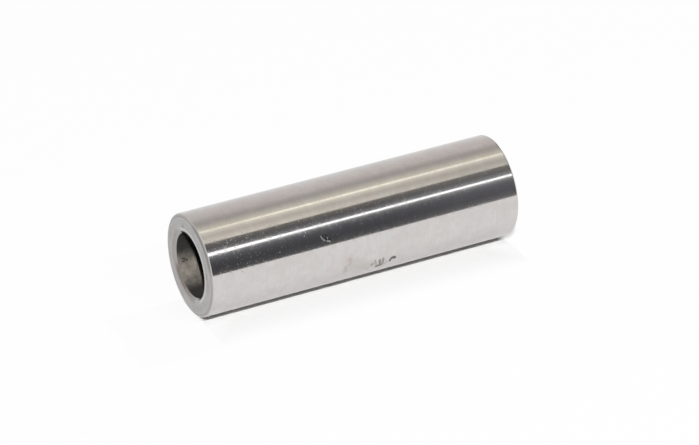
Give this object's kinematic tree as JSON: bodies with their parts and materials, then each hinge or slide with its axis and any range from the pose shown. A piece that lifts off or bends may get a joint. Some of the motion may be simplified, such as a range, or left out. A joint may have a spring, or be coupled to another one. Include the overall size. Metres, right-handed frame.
{
  "type": "gudgeon pin",
  "caption": "Hollow ground steel gudgeon pin with bevelled ends and a straight through bore, which joins a piston to a connecting rod.",
  "frame": {"origin": "middle of the lower end face, which the pin stands on", "axes": "+Z along the pin's axis, from the lower end to the upper end; X and Y are any two directions across it"},
  "size_m": [0.016, 0.016, 0.052],
  "materials": {
    "ground_steel": "outside ground and polished bright, end faces satin, bore dull and slightly brown"
  },
  "bodies": {
    "root": {"gudgeon_pin": "ground_steel"}
  },
  "joints": []
}
